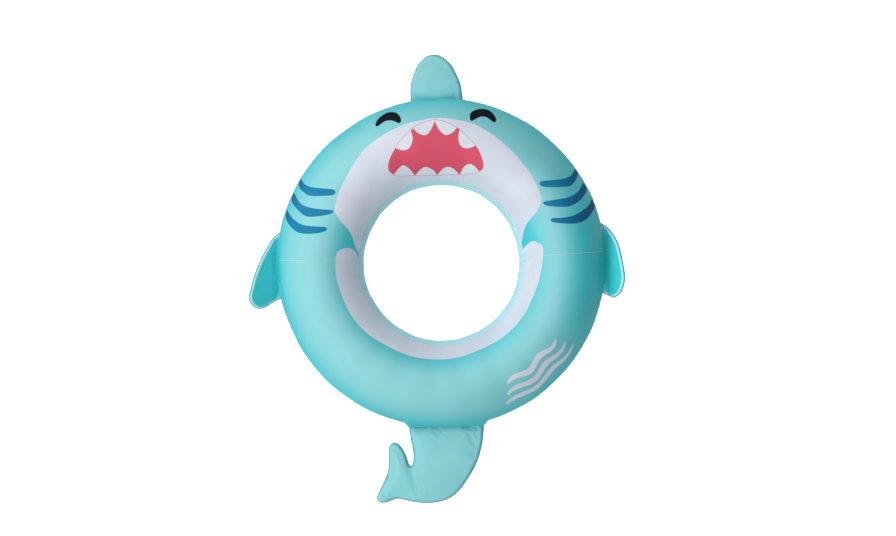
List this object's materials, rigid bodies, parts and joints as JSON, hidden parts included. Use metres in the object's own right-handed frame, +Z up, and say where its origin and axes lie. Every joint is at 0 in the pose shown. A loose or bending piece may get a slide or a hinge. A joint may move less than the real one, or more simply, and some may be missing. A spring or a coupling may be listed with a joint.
{
  "type": "swim ring",
  "caption": "Fabric-covered inflatable swim ring shaped as a shark, with stuffed dorsal fin, side fins and curled tail that fold on their sewn roots.",
  "frame": {"origin": "on the ground, below the centre of the whole outline; the ring's axis is 10.3 mm to +X and 29.8 mm to +Y of it", "axes": "+Z up along the ring's axis, out of its printed face; +Y from the tail to the dorsal fin, the longest extent"},
  "size_m": [0.6976, 0.8314, 0.1563],
  "materials": {
    "cover_fabric": "printed stretch fabric, teal with white belly, soft sheen",
    "back_fabric": "plain stretch fabric, teal",
    "stuffing": "soft white foam",
    "bladder_film": "clear welded film",
    "valve_plastic": "soft moulded plastic",
    "zip_fabric": "woven tape",
    "zip_coil": "moulded coil teeth",
    "zip_metal": "painted die-cast metal"
  },
  "bodies": {
    "ring": {"bladder": "bladder_film", "front_upper_panel": "cover_fabric", "front_lower_panel": "cover_fabric", "back_upper_panel": "back_fabric", "back_lower_panel": "back_fabric", "dorsal_fin_root_tape": "back_fabric", "left_fin_root_tape": "back_fabric", "right_fin_root_tape": "back_fabric", "tail_root_tape": "back_fabric", "valve_flange": "valve_plastic", "valve_port_ring": "valve_plastic", "zip_tape_upper": "zip_fabric", "zip_tape_lower": "zip_fabric", "zip_coil_upper": "zip_coil", "zip_coil_lower": "zip_coil", "zip_stop_start": "zip_metal", "zip_stop_end": "zip_metal"},
    "dorsal_fin": {"dorsal_fin_front_cover": "cover_fabric", "dorsal_fin_back_cover": "back_fabric", "dorsal_fin_stuffing": "stuffing"},
    "left_fin": {"left_fin_front_cover": "cover_fabric", "left_fin_back_cover": "back_fabric", "left_fin_stuffing": "stuffing"},
    "right_fin": {"right_fin_front_cover": "cover_fabric", "right_fin_back_cover": "back_fabric", "right_fin_stuffing": "stuffing"},
    "tail": {"tail_front_cover": "cover_fabric", "tail_back_cover": "back_fabric", "tail_stuffing": "stuffing"},
    "valve_stem": {"valve_stem": "valve_plastic"},
    "valve_plug": {"valve_plug": "valve_plastic"},
    "zip_slider": {"zip_slider": "zip_metal"},
    "zip_pull_tab": {"zip_pull_tab": "zip_metal"}
  },
  "joints": [
    {"name": "dorsal_fin_fold", "type": "hinge", "parent": "ring", "child": "dorsal_fin", "pos_m": [0.01025, 0.33875, 0.07647], "axis": [1, 0, 0], "range_deg": [-50, 60], "stiffness_Nm_per_rad": 0.6},
    {"name": "left_fin_fold", "type": "hinge", "parent": "ring", "child": "left_fin", "pos_m": [-0.29875, 0.02975, 0.07647], "axis": [0, 1, 0], "range_deg": [-82, 50], "stiffness_Nm_per_rad": 0.5},
    {"name": "right_fin_fold", "type": "hinge", "parent": "ring", "child": "right_fin", "pos_m": [0.31925, 0.02975, 0.07647], "axis": [0, -1, 0], "range_deg": [-120, 12], "stiffness_Nm_per_rad": 0.5},
    {"name": "tail_fold", "type": "hinge", "parent": "ring", "child": "tail", "pos_m": [0.01025, -0.27925, 0.07647], "axis": [-1, 0, 0], "range_deg": [-20, 60], "stiffness_Nm_per_rad": 3},
    {"name": "valve_stem_press", "type": "slide", "parent": "ring", "child": "valve_stem", "axis": [0.0583, -0.8891, 0.454], "range_m": [0, 0.012]},
    {"name": "valve_plug_pull", "type": "slide", "parent": "valve_stem", "child": "valve_plug", "axis": [-0.0583, 0.8891, -0.454], "range_m": [0, 0.02]},
    {"name": "zip_slide", "type": "hinge", "parent": "ring", "child": "zip_slider", "pos_m": [0.01025, 0.02975, 0.07647], "axis": [0, 0, 1], "range_deg": [0, 42]},
    {"name": "zip_pull_flip", "type": "hinge", "parent": "zip_slider", "child": "zip_pull_tab", "pos_m": [-0.21246, -0.14897, 0.0155], "axis": [0.5515, 0.4426, -0.7071], "range_deg": [0, 150]}
  ]
}
